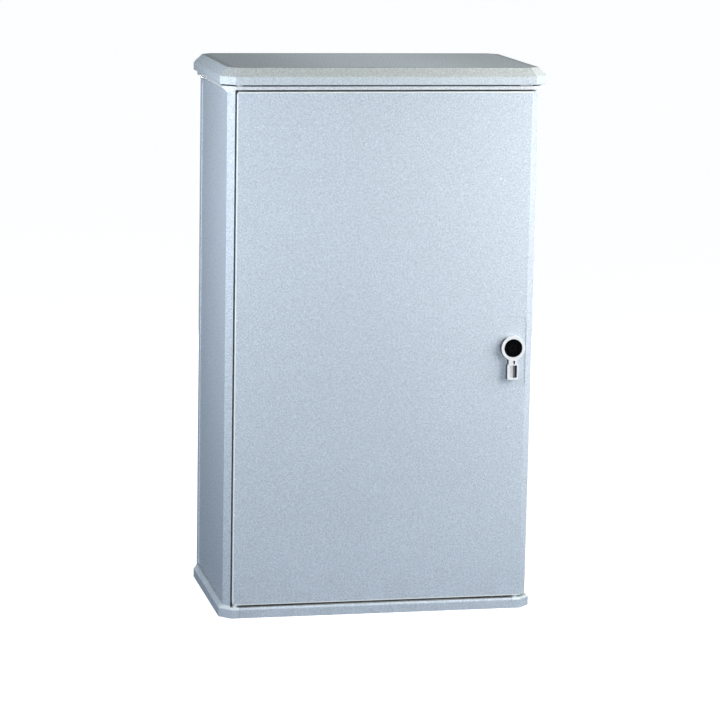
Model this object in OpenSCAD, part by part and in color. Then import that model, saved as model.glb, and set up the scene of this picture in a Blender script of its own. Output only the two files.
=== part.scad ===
// Roadside utility cabinet: moulded glass-fibre shell, one door hung on pivot pins at its left edge,
// a round lock with a sealing well at its right edge, and a two-rod bolt work behind it.
// The origin is at the middle of the footprint, on the ground. The door faces -Y.

/* [Cabinet] */
// Overall height, ground to the top of the roof
overall_h = 900; // [600:1:1500]
// Width over the side walls
body_w = 512; // [420:1:900]
// Depth from the door face to the rear wall
body_d = 288; // [240:1:500]
// Thickness of the moulded walls
wall_t = 5; // [3.5:0.5:7]
// Width of the 45 degree front post on the hinge side
post_chamfer = 12; // [9:0.5:14]
// Depth of the sunk field in each side wall
field_depth = 1.5; // [0.5:0.5:2.5]
// Corner radius of the sunk field
field_r = 8; // [4:1:20]

/* [Base] */
// Height of the base rail under the door
base_h = 17; // [15:1:40]
// How far the base rim stands out beyond the walls
base_lip = 6.5; // [4:0.5:12]
// Height of the slope from the rim up to the wall
base_slope = 6; // [3:0.5:10]
// Corner cut of the base rim
base_corner = 18.4; // [12:0.2:30]
// Length of each corner block along the rim
block_len = 25.5; // [22:0.5:60]
// Width of the ledges inside the base at its two sides
ledge_side = 40; // [36:1:60]
// Width of the ledges inside the base at its front and rear
ledge_end = 76; // [72:1:90]
// Thickness of the ledges and skirts of the frames
frame_t = 4; // [3:0.5:6]
// Diameter of the ground anchor holes
anchor_d = 13; // [9:1:18]
// Distance of the anchor holes from the side walls
anchor_in = 66; // [50:1:120]

/* [Roof] */
// How far the roof stands out beyond the walls
roof_lip = 13; // [8:0.5:40]
// Height of the roof's upright edge
fascia_h = 13; // [8:1:40]
// Height of the roof's sloping edge
bevel_h = 14; // [6:0.5:40]
// Width of the roof's sloping edge, seen from above
bevel_w = 13.5; // [6:0.5:40]
// Corner cut of the roof
roof_corner = 22.5; // [14:0.5:60]
// Thickness of the roof shell
roof_t = 4; // [3:0.5:6]
// Air gap between the roof and the collar
shadow_gap = 3; // [2:0.5:6]
// Height of the collar above the door
collar_h = 5.5; // [4:0.5:12]
// How far the collar stands out at the sides
collar_lip = 7; // [4:0.5:10]
// How far the collar stands out at the front
collar_front = 2; // [0:0.5:4]
// Height of the drip slope under the collar at the sides
drip_h = 7; // [3:0.5:14]

/* [Door] */
// Gap round the door
door_gap = 3; // [2:0.5:5]
// Depth of the door's edges
door_depth = 24; // [20:1:26]
// Thickness of the door's skin and edges
door_t = 4; // [3:0.5:5]
// Corner radius of the door, seen from the front
door_r = 5; // [2:0.5:12]
// Distance of the pivot axis from the door's face and edge
pivot_in = 5; // [4.5:0.1:6]
// Diameter of the pivot pins
pin_d = 5; // [4:0.5:6]
// Angle at which the door stands fully open
door_open = 110; // [90:1:112]
// Width of the rubber seal
seal_w = 10; // [8:1:14]

/* [Lock] */
// Lock centre, measured in from the door's free edge
lock_in = 36.2; // [34:0.1:50]
// Lock centre above the ground
lock_z = 440.8; // [250:0.1:650]
// Outside diameter of the lock ring
ring_d = 40.5; // [36:0.5:50]
// Diameter of the round knob
knob_d = 29.8; // [24:0.1:32]
// How far the lock ring stands proud of the door
ring_proud = 10; // [5:0.5:11]
// Pitch radius of the pinion that drives the rods
pinion_r = 8; // [6:0.5:10]
// Number of teeth on the pinion
pinion_teeth = 12; // [10:1:16]
// Width of the bolt rods
rod_w = 10; // [8:0.5:12]
// Thickness of the bolt rods
rod_t = 4; // [3:0.5:5]

/* [Inside] */
// Width of the mounting plate
plate_w = 380; // [200:1:390]
// Height of the mounting plate
plate_h = 680; // [300:1:700]
// Thickness of the mounting plate
plate_t = 2; // [1.5:0.5:4]
// Length of the bosses that carry the mounting plate
plate_boss = 20; // [12:1:40]
// Diameter of the cable entries
entry_d = 50; // [30:1:60]
// Diameter of the wall fixing holes
wall_hole_d = 9; // [7:1:12]

/* [Hidden] */
$fn = 64;
fit = 0.3;                      // clearance between pieces that are put together
run = 0.05;                     // radial clearance on a turning pin
over = 1;                       // how far a cutting shape runs past the face it cuts
slice = 0.01;                   // thickness of the plates that a sloping shell is stretched between
grey = [0.80, 0.84, 0.88];
grey_in = [0.74, 0.78, 0.82];
steel = [0.66, 0.67, 0.68];
black = [0.05, 0.05, 0.06];
rubber = [0.12, 0.12, 0.13];

// Levels
roof_z = overall_h - bevel_h - fascia_h;      // underside of the roof's edge
collar_top = roof_z - shadow_gap;
wall_top = collar_top - collar_h;             // top of the walls, underside of the top rail
door_bottom = base_h + door_gap;
door_top = wall_top - door_gap;
ledge_z = base_h - frame_t;                   // underside of the base ledge
slope_top = base_h + door_gap;
rim_z = slope_top - base_slope;               // top of the base's upright rim
drip_z = collar_top - frame_t - drip_h;       // foot of the drip slope
drip_top = collar_top - frame_t;

// Walls
half_w = body_w / 2;
front_y = -body_d / 2;
rear_y = body_d / 2;
inner_x = half_w - wall_t;                    // inner face of the side walls
inner_back = rear_y - wall_t;                 // inner face of the rear wall
post_edge = 1;                                // depth at which the post's slope ends at the door gap
post_x = half_w - post_chamfer + post_edge;   // inner face of the hinge post, from the middle
post_front = front_y + post_edge;
frame_y = front_y + 34;                       // front face of the sealing frame's plate
frame_back = frame_y + frame_t;
flange_w = 20;                                // width of the flanges inside the walls
field_edge = 2;                               // border between the post and the sunk field
field_low = slope_top + 2 * field_edge;
field_high = drip_z - field_edge;
field_rear = 14;                              // border at the other edges of the sunk fields

// Door and pivot
door_left = -post_x + door_gap;
door_right = half_w;
door_back = front_y + door_depth;
skin_in = front_y + door_t;                   // inner face of the door skin
pivot_x = door_left + pivot_in;
pivot_y = front_y + pivot_in;
stub_d = 8;                                   // raised seat round the lower pin
bush_d = pin_d + 2.6;
bush_len = 16;
pin_sunk = 13;                                // length of each pin held in the frame
pin_up = 12;                                  // length of each pin inside its bush
hinge_block = 13;                             // side of the solid corner that holds a bush
hinge_block_h = 20;
hinge_skin = 0.5;                             // the block stays this far inside the door's faces
pin_boss_d = 11;

// Lock
lock_x = door_right - lock_in;
pad_depth = 0.6;
pad_face = front_y + pad_depth;
pad_left = ring_d / 2 + 1;                    // pad edges, from the lock's axis
pad_right = ring_d / 2 + 2.75;
pad_up = 50.8;
pad_down = 66.8;
pad_r = 10;
ring_front = front_y - ring_proud;
ring_bore = knob_d + 2 * fit;
spigot_d = ring_bore + 3;
neck_w = 15;
tail_w = 19;
tail_top = -27.1;                             // tail and well heights, from the lock's axis
tail_bottom = -52.9;
well_left = -5.2;
well_right = 6.8;
well_top = -28.9;
well_bottom = -49.6;
well_depth = 4.5;                             // floor of the sealing well, behind the door's face
well_floor = front_y + well_depth;
well_t = 2;
well_step = 0.7;                              // right edge of the shallow left half of the well
well_step_depth = 2.5;
slit_x = 1.7;
slit_w = 2.6;
slit_top = -20.5;
slit_bottom = -27;
slit_depth = 8;
knob_front = ring_front + 1.5;
knob_back = front_y + 2;
hub_d = 14;
key_d = 13.8;
key_front = knob_front + 0.6;
key_back = knob_front + 8;
key_slot_w = 1.8;
key_slot_h = 8.5;
key_slot_depth = 4;
square_w = 8;                                 // side of the square spindle

// Bolt work
rod_y = front_y + 17;
rod_off = pinion_r + rod_w / 2;               // rod centre lines, from the lock's axis
upper_x = lock_x + rod_off;
lower_x = lock_x - rod_off;
tip_in = 2.5;                                 // the rods' ends, inside the door's ends at rest
upper_tip = door_top - tip_in;
lower_tip = door_bottom + tip_in;
tip_len = 30;
tooth_pitch = 2 * PI * pinion_r / pinion_teeth;
tooth_out = 0.8 * tooth_pitch / PI;           // addendum
tooth_in = 1.25 * tooth_pitch / PI;           // dedendum
rack_back = 22;                               // how far a rack runs past the lock's axis
rack_front = 8;
pinion_t = 6;
case_post_d = 7.4;
case_w = 2 * (rod_off + rod_w / 2 + case_post_d) + 2;
case_h = 74;
case_front = front_y + 11;
case_back = front_y + 21.5;
case_t = 2;
case_screw_x = case_w / 2 - case_post_d / 2;
case_screw_z = case_h / 2 - case_post_d / 2;
case_screw_d = 4;
case_screw_bite = 6;                          // thread in the door's posts
case_head_d = 7;
guide_w = 28;
guide_h = 12;
guide_screw_x = 11;
guide_screw_d = 3;
guide_screw_bite = 6;
guide_head_d = 5;
guide_strap = 2.5;                            // thickness of the guide's feet and cheeks
guide_roof = 2;                               // thickness of the guide over the rod
guide_gap = 0.3;
// The guides stand far enough off the skin to clear the door's inner slope
slope_in = post_chamfer - door_t * (2 - sqrt(2));
guide_pad = upper_x + guide_w / 2 - (door_right - door_t - slope_in) + 2 * fit;
guide_reach = 190;                            // inner guides, from the lock's axis
guide_end = 60;                               // outer guides, from the door's ends
keeper_w = 22;
keeper_front = 15;                            // keeper plate, from the rod's centre line to its edges
keeper_rear = 7.5;
keeper_gap = 1.5;                             // play of a rod in its keeper's slot
window_gap = 3.2;                             // play of a rod in the frame behind the keeper
keeper_t = 2;
keeper_screw_in = [2.5, 3.5];                 // keeper screws, from the plate's side and front edges
keeper_head_d = 5;

// Sealing frame
lip_t = 4;
lip_left = -post_x + 33;
lip_right = lock_x - case_w / 2 - 8;
lip_bottom = door_bottom + 32;
lip_top = door_top - 32;
lip_front = front_y + 10;
rib_t = 3;
rib_h = 7;
rib_in = 20;                                  // ribs, inside the sealing lip

// Outlines seen from above
base_x = half_w + base_lip;
base_y = rear_y + base_lip;
collar_x = half_w + collar_lip;
collar_corner = 19;
roof_x = half_w + roof_lip;
roof_y = rear_y + roof_lip;
block_x = half_w - block_len;
block_y = rear_y - block_len;
floor_x = half_w - ledge_side;                // floor opening
floor_y = rear_y - ledge_end;
top_x = half_w - 46;                          // opening in the top frame
top_front = front_y + 52;
top_rear = rear_y - 40;
seat_in = 26;                                 // inset of the roof's seat from the walls
seat_z = roof_z + fascia_h;                   // where the roof's rib sits on the seat
vent_w = 24;
vent_h = 8;
vent_step = 40;
vent_up = 4;                                  // sill under the vents

// Fasteners
screw_d = 5;
head_d = 9;
head_h = 3.2;
screw_end = 0.5;                              // a screw's end stays this far inside its hole
screw_past = 2;                               // how far other screws run past what they hold
locator_in = wall_t + fit;                    // gap between a wall and its locating lip
locator_t = 3;
locator_h = 18;
wall_screw_up = 10;
wall_screw_bite = 2.4;
wall_screw_y = 60;
wall_screw_x = 120;
corner_screw_end = 45;                        // first and last screw, from the ends of the walls
corner_screw_bite = 3;
frame_screw_in = 21;
tongue_len = 12;
tongue_w = 14;
tongue_in = 16;
tongue_gap = 4;                               // air under a tongue
block_screw_len = 7;                          // length of a block screw below the ledge
floor_overlap = 12;
floor_screw_in = floor_overlap - head_d / 2;
floor_screw_y = 40;
anchor_off = 24;                              // anchor holes, from the floor opening
anchor_x = half_w - anchor_in;
anchor_y = floor_y + anchor_off;
roof_screw_x = half_w - 38;
roof_screw_y = rear_y - 64;
roof_boss_d = 12;
roof_screw_len = 16;                          // thread in the roof's bosses
pin_cap = 2;                                  // closed end over the upper pin
plate_z = overall_h / 2;
plate_face = inner_back - plate_boss;         // rear face of the mounting plate
plate_screw_x = plate_w / 2 - 20;
plate_screw_z = plate_h / 2 - 40;
plate_screw_d = 6;
plate_boss_d = 18;
plate_screw_len = 14;                         // thread in the bosses
plate_head_d = 11;
boss_end = 2;                                 // closed end of each boss hole
wall_hole_x = half_w - 36;
wall_hole_low = base_h + 93;
wall_hole_high = wall_top - 75;
entry_step = 80;
entry_lip = 4;

// ---- Shapes ----

// Outline of a frame seen from above, with its four corners cut at 45 degrees
module cut_outline(x, y_front, y_rear, cut) {
    polygon([[-x + cut, y_front], [x - cut, y_front], [x, y_front + cut], [x, y_rear - cut],
        [x - cut, y_rear], [-x + cut, y_rear], [-x, y_rear - cut], [-x, y_front + cut]]);
}

// Outline of the walls seen from above
module wall_outline() {
    polygon([[-half_w + post_chamfer, front_y], [half_w - post_chamfer, front_y],
        [half_w, front_y + post_chamfer], [half_w, rear_y - wall_t], [half_w - wall_t, rear_y],
        [-half_w + wall_t, rear_y], [-half_w, rear_y - wall_t],
        [-half_w, front_y + post_chamfer]]);
}

module layer(z_low, z_high) {
    translate([0, 0, z_low]) linear_extrude(z_high - z_low) children();
}

// Sloping shell between a lower outline, child 0, and an upper outline, child 1
module slope(z_low, z_high) {
    hull() {
        layer(z_low, z_low + slice) children(0);
        layer(z_high - slice, z_high) children(1);
    }
}

module box(low, high) {
    translate(low) cube(high - low);
}

// A flat outline drawn in X and Z, given its depth from y_low to y_high
module slab_y(y_low, y_high) {
    translate([0, y_high, 0]) rotate([90, 0, 0]) linear_extrude(y_high - y_low) children();
}

// A flat outline drawn in Y and Z, given its depth from x_low to x_high
module slab_x(x_low, x_high) {
    translate([x_low, 0, 0]) rotate([90, 0, 90]) linear_extrude(x_high - x_low) children();
}

module rod_along_y(x, z, y_low, y_high, d) {
    translate([x, y_high, z]) rotate([90, 0, 0]) cylinder(h = y_high - y_low, d = d);
}

module rod_along_z(x, y, z_low, z_high, d) {
    translate([x, y, z_low]) cylinder(h = z_high - z_low, d = d);
}

// Rectangle with round corners, from its lower left to its upper right corner
module round_rect(low, high, r) {
    translate([low.x + r, low.y]) square([high.x - low.x - 2 * r, high.y - low.y]);
    translate([low.x, low.y + r]) square([high.x - low.x, high.y - low.y - 2 * r]);
    for (x = [low.x + r, high.x - r], z = [low.y + r, high.y - r])
        translate([x, z]) circle(r = r);
}

// Pan-head screw on the Z axis: its head above z = 0, its shank below
module pan_screw(d, length, head = head_d) {
    cylinder(h = head_h, d = head);
    translate([0, 0, -length]) cylinder(h = length, d = d);
}

// The room that the shut door takes, with its gaps
module door_room() {
    box([-post_x, front_y - 2 * base_lip, base_h],
        [base_x + collar_lip, door_back + door_gap, wall_top]);
}

// Corner box of a corner block, at side sx and sy
module corner_box(sx, sy, z_low, z_high) {
    far = half_w + rear_y;
    translate([sx > 0 ? block_x : -far, sy > 0 ? block_y : -far, z_low])
        cube([far - block_x, far - block_y, z_high - z_low]);
}

// ---- Base ----

module base_body() {
    layer(0, rim_z) cut_outline(base_x, -base_y, base_y, base_corner);
    slope(rim_z, slope_top) {
        cut_outline(base_x, -base_y, base_y, base_corner);
        wall_outline();
    }
}

module wall_room() {
    layer(base_h, wall_top) wall_outline();
}

// Places of the screws that hold the locating lips to the walls, looking out of the wall
module at_wall_screws(z) {
    for (y = [-wall_screw_y, wall_screw_y]) {
        translate([-half_w, y, z]) rotate([0, 90, 0]) children();
        translate([half_w, y, z]) rotate([0, -90, 0]) children();
    }
    for (x = [-wall_screw_x, wall_screw_x])
        translate([x, rear_y, z]) rotate([90, 0, 0]) children();
}

module wall_screw_holes(z) {
    at_wall_screws(z) translate([0, 0, wall_t - wall_screw_bite])
        cylinder(h = 2 * wall_t, d = screw_d + 2 * run);
}

// Lips that stand just inside the side and rear walls
module locating_lips(z_low, z_high) {
    in_x = half_w - locator_in;
    in_y = rear_y - locator_in;
    end_y = inner_back - wall_t - over;
    for (x = [-in_x, in_x - locator_t])
        box([x, frame_back + wall_t + over, z_low], [x + locator_t, end_y, z_high]);
    end_x = inner_x - flange_w - over;
    box([-end_x, in_y - locator_t, z_low], [end_x, in_y, z_high]);
}

module at_tongues() {
    for (sx = [-1, 1], sy = [-1, 1])
        translate([sx * (block_x - tongue_len / 2), sy * (rear_y - tongue_in), 0]) children();
}

module at_floor_screws() {
    for (x = [-1, 1] * (floor_x + floor_screw_in), y = [-floor_screw_y, floor_screw_y])
        translate([x, y, 0]) children();
    for (y = [-1, 1] * (floor_y + floor_screw_in))
        translate([0, y, 0]) children();
}

module base_frame() {
    color(grey) difference() {
        union() {
            difference() {
                base_body();
                layer(-over, ledge_z)
                    cut_outline(base_x - frame_t, -base_y + frame_t, base_y - frame_t,
                        base_corner - frame_t / 2);
                wall_room();
                door_room();
            }
            box([-floor_x - frame_t, -floor_y - frame_t, 0],
                [floor_x + frame_t, floor_y + frame_t, ledge_z]);
            locating_lips(base_h, base_h + locator_h);
        }
        box([-floor_x, -floor_y, -over], [floor_x, floor_y, base_h + over]);
        for (sx = [-1, 1], sy = [-1, 1])
            corner_box(sx, sy, -over, slope_top + over);
        wall_screw_holes(base_h + wall_screw_up);
        at_tongues() translate([0, 0, ledge_z - over]) {
            cylinder(h = frame_t + 2 * over, d = screw_d + 2 * fit);
            translate([0, 0, over + frame_t - head_h]) cylinder(h = head_h + over, d = head_d + fit);
        }
        at_floor_screws() translate([0, 0, ledge_z - over])
            cylinder(h = frame_t + 2 * over, d = screw_d + 2 * run);
        for (x = [-anchor_x, anchor_x], y = [-anchor_y, anchor_y])
            rod_along_z(x, y, ledge_z - over, base_h + over, anchor_d);
        rod_hole(lower_x, window_gap, ledge_z - over, base_h + over);
        at_keeper_screws(lower_x) translate([0, 0, ledge_z - over])
            cylinder(h = frame_t + 2 * over, d = case_screw_d + 2 * run);
    }
}

// Hole that a rod passes through, with the same play all round
module rod_hole(x, play, z_low, z_high) {
    box([x - rod_w / 2 - play, rod_y - rod_t / 2 - play, z_low],
        [x + rod_w / 2 + play, rod_y + rod_t / 2 + play, z_high]);
}

module at_keeper_screws(x) {
    for (dx = [-1, 1] * (keeper_w / 2 - keeper_screw_in.x))
        translate([x + dx, rod_y - keeper_front + keeper_screw_in.y, 0]) children();
}

module corner_block(sx, sy) {
    color(grey) difference() {
        union() {
            difference() {
                intersection() {
                    base_body();
                    corner_box(sx, sy, 0, slope_top);
                }
                wall_room();
                door_room();
            }
            translate([sx * (block_x - tongue_len / 2), sy * (rear_y - tongue_in),
                (ledge_z + tongue_gap) / 2])
                cube([tongue_len + 2 * slice, tongue_w, ledge_z - tongue_gap], center = true);
            if (sy < 0)
                rod_along_z(sx * -pivot_x, pivot_y, base_h - over, door_bottom - fit, stub_d);
        }
        // Underside hollow of the moulding
        difference() {
            intersection() {
                layer(-over, ledge_z - frame_t)
                    cut_outline(base_x - frame_t, -base_y + frame_t, base_y - frame_t,
                        base_corner - frame_t / 2);
                corner_box(sx, sy, -over, ledge_z);
            }
            translate([sx > 0 ? block_x - over : -block_x - frame_t, -base_y, -over])
                cube([frame_t + over, 2 * base_y, ledge_z + over]);
            translate([-base_x, sy > 0 ? block_y - over : -block_y - frame_t, -over])
                cube([2 * base_x, frame_t + over, ledge_z + over]);
            rod_along_z(sx * -pivot_x, sy * -pivot_y, -over, ledge_z, pin_boss_d);
        }
        at_tongues() translate([0, 0, ledge_z - block_screw_len - over])
            cylinder(h = base_h, d = screw_d - 2 * fit + 2 * run);
        if (sy < 0)
            rod_along_z(sx * -pivot_x, pivot_y, base_h - pin_sunk, door_bottom + over,
                pin_d + 2 * run);
    }
}

module corner_block_front_left() { corner_block(-1, -1); }
module corner_block_front_right() { corner_block(1, -1); }
module corner_block_rear_left() { corner_block(-1, 1); }
module corner_block_rear_right() { corner_block(1, 1); }

module corner_block_screws() {
    color(steel) at_tongues() translate([0, 0, base_h - head_h]) {
        cylinder(h = head_h, d = head_d - fit);
        translate([0, 0, head_h - frame_t - block_screw_len])
            cylinder(h = block_screw_len + frame_t - head_h + slice, d = screw_d - 2 * fit);
    }
}

module floor_plate() {
    color(grey_in) difference() {
        box([-floor_x - floor_overlap, -floor_y - floor_overlap, base_h],
            [floor_x + floor_overlap, floor_y + floor_overlap, base_h + frame_t]);
        at_floor_screws() rod_along_z(0, 0, base_h - over, base_h + frame_t + over, screw_d + fit);
        at_entries() rod_along_z(0, 0, base_h - over, base_h + frame_t + over, entry_d);
    }
}

module at_entries() {
    for (k = [-1.5 : 1 : 1.5])
        translate([k * entry_step, 0, 0]) children();
}

module floor_plate_screws() {
    color(steel) at_floor_screws() translate([0, 0, base_h + frame_t])
        pan_screw(screw_d, 2 * frame_t + screw_past);
}

// Rubber grommets: a groove round the plate's edge and a dished membrane across the hole
module cable_grommets() {
    r = entry_d / 2;
    skin = 2;
    dish = 10;
    nose = 0.4 * r;
    color(rubber) at_entries() translate([0, 0, base_h]) rotate_extrude()
        polygon([[0, -dish], [nose, -dish], [r - entry_lip, -skin], [r + entry_lip, -skin],
            [r + entry_lip, 0], [r, 0], [r, frame_t], [r + entry_lip, frame_t],
            [r + entry_lip, frame_t + skin], [r - entry_lip, frame_t + skin],
            [r - entry_lip, skin / 4], [nose, skin - dish], [0, skin - dish]]);
}

// ---- Walls ----

module side_field(x_low, x_high, y_low) {
    slab_x(x_low, x_high)
        round_rect([y_low, field_low], [inner_back - field_rear, field_high], field_r);
}

function corner_screw_z(k) = base_h + corner_screw_end
    + k * (wall_top - base_h - 2 * corner_screw_end) / 3;

module at_rear_screws() {
    for (x = [-1, 1] * (half_w - wall_t - flange_w / 2), k = [0 : 3])
        translate([x, inner_back, corner_screw_z(k)])
            rotate([90, 0, 0]) children();
}

module at_frame_screws() {
    for (x = [-1, 1] * (half_w - frame_screw_in), k = [0 : 3])
        translate([x, frame_y, corner_screw_z(k)])
            rotate([90, 0, 0]) children();
}

module wall_holes() {
    wall_screw_holes(base_h + wall_screw_up);
    wall_screw_holes(wall_top - wall_screw_up);
    at_rear_screws() translate([0, 0, -corner_screw_bite - screw_end])
        cylinder(h = wall_t + corner_screw_bite + screw_end + over, d = screw_d + 2 * run);
    at_frame_screws() translate([0, 0, -frame_t - wall_t - over])
        cylinder(h = frame_t + wall_t + 2 * over, d = screw_d + 2 * run);
}

module left_side_panel() {
    color(grey) difference() {
        layer(base_h, wall_top) polygon([[-half_w, front_y + post_chamfer],
            [-post_x, post_front],
            [-post_x, frame_back], [-inner_x + flange_w, frame_back],
            [-inner_x + flange_w, frame_back + wall_t], [-inner_x, frame_back + wall_t],
            [-inner_x, inner_back - wall_t], [-inner_x + flange_w, inner_back - wall_t],
            [-inner_x + flange_w, inner_back], [-half_w, inner_back]]);
        side_field(-half_w - over, -half_w + field_depth, front_y + post_chamfer + field_edge);
        wall_holes();
    }
}

module right_side_panel() {
    front = door_back + door_gap;
    color(grey) difference() {
        layer(base_h, wall_top) polygon([[half_w, front], [inner_x, front],
            [inner_x, frame_back], [inner_x - flange_w, frame_back],
            [inner_x - flange_w, frame_back + wall_t], [inner_x, frame_back + wall_t],
            [inner_x, inner_back - wall_t], [inner_x - flange_w, inner_back - wall_t],
            [inner_x - flange_w, inner_back], [half_w, inner_back]]);
        side_field(half_w - field_depth, half_w + over, front + field_rear / 2);
        wall_holes();
    }
}

module at_plate_screws() {
    for (x = [-plate_screw_x, plate_screw_x], z = [plate_z - plate_screw_z, plate_z + plate_screw_z])
        translate([x, plate_face, z]) rotate([90, 0, 0]) children();
}

module rear_panel() {
    color(grey) difference() {
        union() {
            layer(base_h, wall_top) polygon([[-half_w, inner_back], [half_w, inner_back],
                [inner_x, rear_y], [-inner_x, rear_y]]);
            at_plate_screws() translate([0, 0, -plate_boss - slice])
                cylinder(h = plate_boss + slice, d = plate_boss_d);
        }
        slab_y(rear_y - field_depth, rear_y + over) round_rect(
            [-half_w + field_rear, field_low], [half_w - field_rear, field_high], field_r);
        at_plate_screws() translate([0, 0, boss_end - plate_boss])
            cylinder(h = plate_boss, d = plate_screw_d + 2 * run);
        for (x = [-wall_hole_x, wall_hole_x], z = [wall_hole_low, wall_hole_high])
            rod_along_y(x, z, inner_back - over, rear_y + over, wall_hole_d);
        wall_holes();
    }
}

module wall_screws() {
    bite = wall_t - wall_screw_bite + fit;
    seat = locator_in + locator_t;
    color(steel) for (z = [base_h + wall_screw_up, wall_top - wall_screw_up])
        at_wall_screws(z) translate([0, 0, seat]) pan_screw(screw_d, seat - bite);
}

module rear_corner_screws() {
    color(steel) at_rear_screws() translate([0, 0, wall_t])
        pan_screw(screw_d, wall_t + corner_screw_bite);
}

// One moulding round the door opening: a plate between the walls, and a lip for the seal
module door_frame() {
    color(grey) difference() {
        union() {
            box([-post_x, frame_y, base_h], [inner_x, frame_back, wall_top]);
            box([lip_left, lip_front, lip_bottom], [lip_right, frame_back, lip_top]);
        }
        box([lip_left + lip_t, lip_front - over, lip_bottom + lip_t],
            [lip_right - lip_t, frame_back + over, lip_top - lip_t]);
        wall_holes();
    }
}

module door_frame_screws() {
    color(steel) at_frame_screws() pan_screw(screw_d, frame_t + wall_t + screw_past / 2);
}

// ---- Top ----

module collar_outline() {
    cut_outline(collar_x, front_y - collar_front, rear_y + collar_lip, collar_corner);
}

module seat_ring(z_low, z_high) {
    x = half_w - seat_in;
    y = rear_y - seat_in;
    difference() {
        box([-x, -y, z_low], [x, y, z_high]);
        box([-x + frame_t, -y + frame_t, z_low - over], [x - frame_t, y - frame_t, z_high + over]);
    }
}

module vents() {
    low = collar_top + vent_up;
    nx = floor((half_w - seat_in - vent_w) / vent_step);
    ny = floor((rear_y - seat_in - vent_w) / vent_step);
    for (k = [-nx : nx])
        translate([k * vent_step - vent_w / 2, -body_d, low]) cube([vent_w, 2 * body_d, vent_h]);
    for (k = [-ny : ny])
        translate([-body_w, k * vent_step - vent_w / 2, low]) cube([2 * body_w, vent_w, vent_h]);
}

module at_roof_screws() {
    for (x = [-roof_screw_x, roof_screw_x], y = [-roof_screw_y, roof_screw_y])
        translate([x, y, 0]) children();
}

module top_frame() {
    color(grey) difference() {
        union() {
            difference() {
                union() {
                    layer(drip_top, collar_top) collar_outline();
                    slope(drip_z, drip_top) {
                        wall_outline();
                        collar_outline();
                    }
                }
                wall_room();
                door_room();
            }
            locating_lips(wall_top - locator_h, wall_top + slice);
            difference() {
                seat_ring(collar_top - slice, seat_z);
                vents();
            }
            rod_along_z(pivot_x, pivot_y, collar_top - slice, wall_top + pin_sunk + pin_cap,
                pin_boss_d);
        }
        box([-top_x, top_front, wall_top - over], [top_x, top_rear, collar_top + over]);
        rod_along_z(pivot_x, pivot_y, wall_top - over, wall_top + pin_sunk, pin_d + 2 * run);
        at_roof_screws() rod_along_z(0, 0, wall_top - over, collar_top + over, screw_d + fit);
        wall_screw_holes(wall_top - wall_screw_up);
        rod_hole(upper_x, window_gap, wall_top - over, collar_top + over);
        at_keeper_screws(upper_x) rod_along_z(0, 0, wall_top - over, collar_top + over,
            case_screw_d + 2 * run);
    }
}

module roof() {
    color(grey) difference() {
        union() {
            difference() {
                union() {
                    layer(roof_z, seat_z) cut_outline(roof_x, -roof_y, roof_y, roof_corner);
                    slope(seat_z, overall_h) {
                        cut_outline(roof_x, -roof_y, roof_y, roof_corner);
                        cut_outline(roof_x - bevel_w, -roof_y + bevel_w, roof_y - bevel_w,
                            roof_corner - bevel_w / 2);
                    }
                }
                layer(roof_z - over, seat_z) roof_inside(roof_t);
                slope(seat_z - slice, overall_h - roof_t) {
                    roof_inside(roof_t);
                    roof_inside(roof_t + bevel_w);
                }
            }
            seat_ring(seat_z, overall_h - roof_t + slice);
            at_roof_screws() rod_along_z(0, 0, collar_top, overall_h - roof_t + slice, roof_boss_d);
        }
        at_roof_screws() rod_along_z(0, 0, collar_top - over,
            collar_top + roof_screw_len + screw_past, screw_d + 2 * run);
    }
}

module roof_inside(inset) {
    cut_outline(roof_x - inset, -roof_y + inset, roof_y - inset, roof_corner - inset / 2);
}

module roof_screws() {
    color(steel) at_roof_screws() translate([0, 0, wall_top]) rotate([180, 0, 0])
        pan_screw(screw_d, collar_h + roof_screw_len);
}

// ---- Inside ----

module mounting_plate() {
    color(steel) difference() {
        slab_y(plate_face - plate_t, plate_face) round_rect(
            [-plate_w / 2, plate_z - plate_h / 2], [plate_w / 2, plate_z + plate_h / 2], field_r);
        at_plate_screws() translate([0, 0, -over])
            cylinder(h = plate_t + 2 * over, d = plate_screw_d + 2 * fit);
    }
}

module mounting_plate_screws() {
    color(steel) at_plate_screws() translate([0, 0, plate_t])
        pan_screw(plate_screw_d, plate_t + plate_screw_len, plate_head_d);
}

module lower_pivot_pin() {
    color(steel) rod_along_z(pivot_x, pivot_y, base_h - pin_sunk, door_bottom + pin_up, pin_d);
}

module upper_pivot_pin() {
    color(steel) rod_along_z(pivot_x, pivot_y, door_top - pin_up, wall_top + pin_sunk, pin_d);
}

// Steel plate whose slot takes the end of a rod
module keeper(x, z) {
    color(steel) difference() {
        box([x - keeper_w / 2, rod_y - keeper_front, z],
            [x + keeper_w / 2, rod_y + keeper_rear, z + keeper_t]);
        rod_hole(x, keeper_gap, z - over, z + keeper_t + over);
        at_keeper_screws(x) rod_along_z(0, 0, z - over, z + keeper_t + over,
            case_screw_d + fit);
    }
}

module lower_rod_keeper() { keeper(lower_x, ledge_z - keeper_t); }
module upper_rod_keeper() { keeper(upper_x, collar_top); }

module keeper_screws() {
    color(steel) {
        at_keeper_screws(lower_x) translate([0, 0, ledge_z - keeper_t]) rotate([180, 0, 0])
            pan_screw(case_screw_d, keeper_t + frame_t - screw_end, keeper_head_d);
        at_keeper_screws(upper_x) translate([0, 0, collar_top + keeper_t])
            pan_screw(case_screw_d, keeper_t + collar_h - screw_end, keeper_head_d);
    }
}

// ---- Door ----

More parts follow.
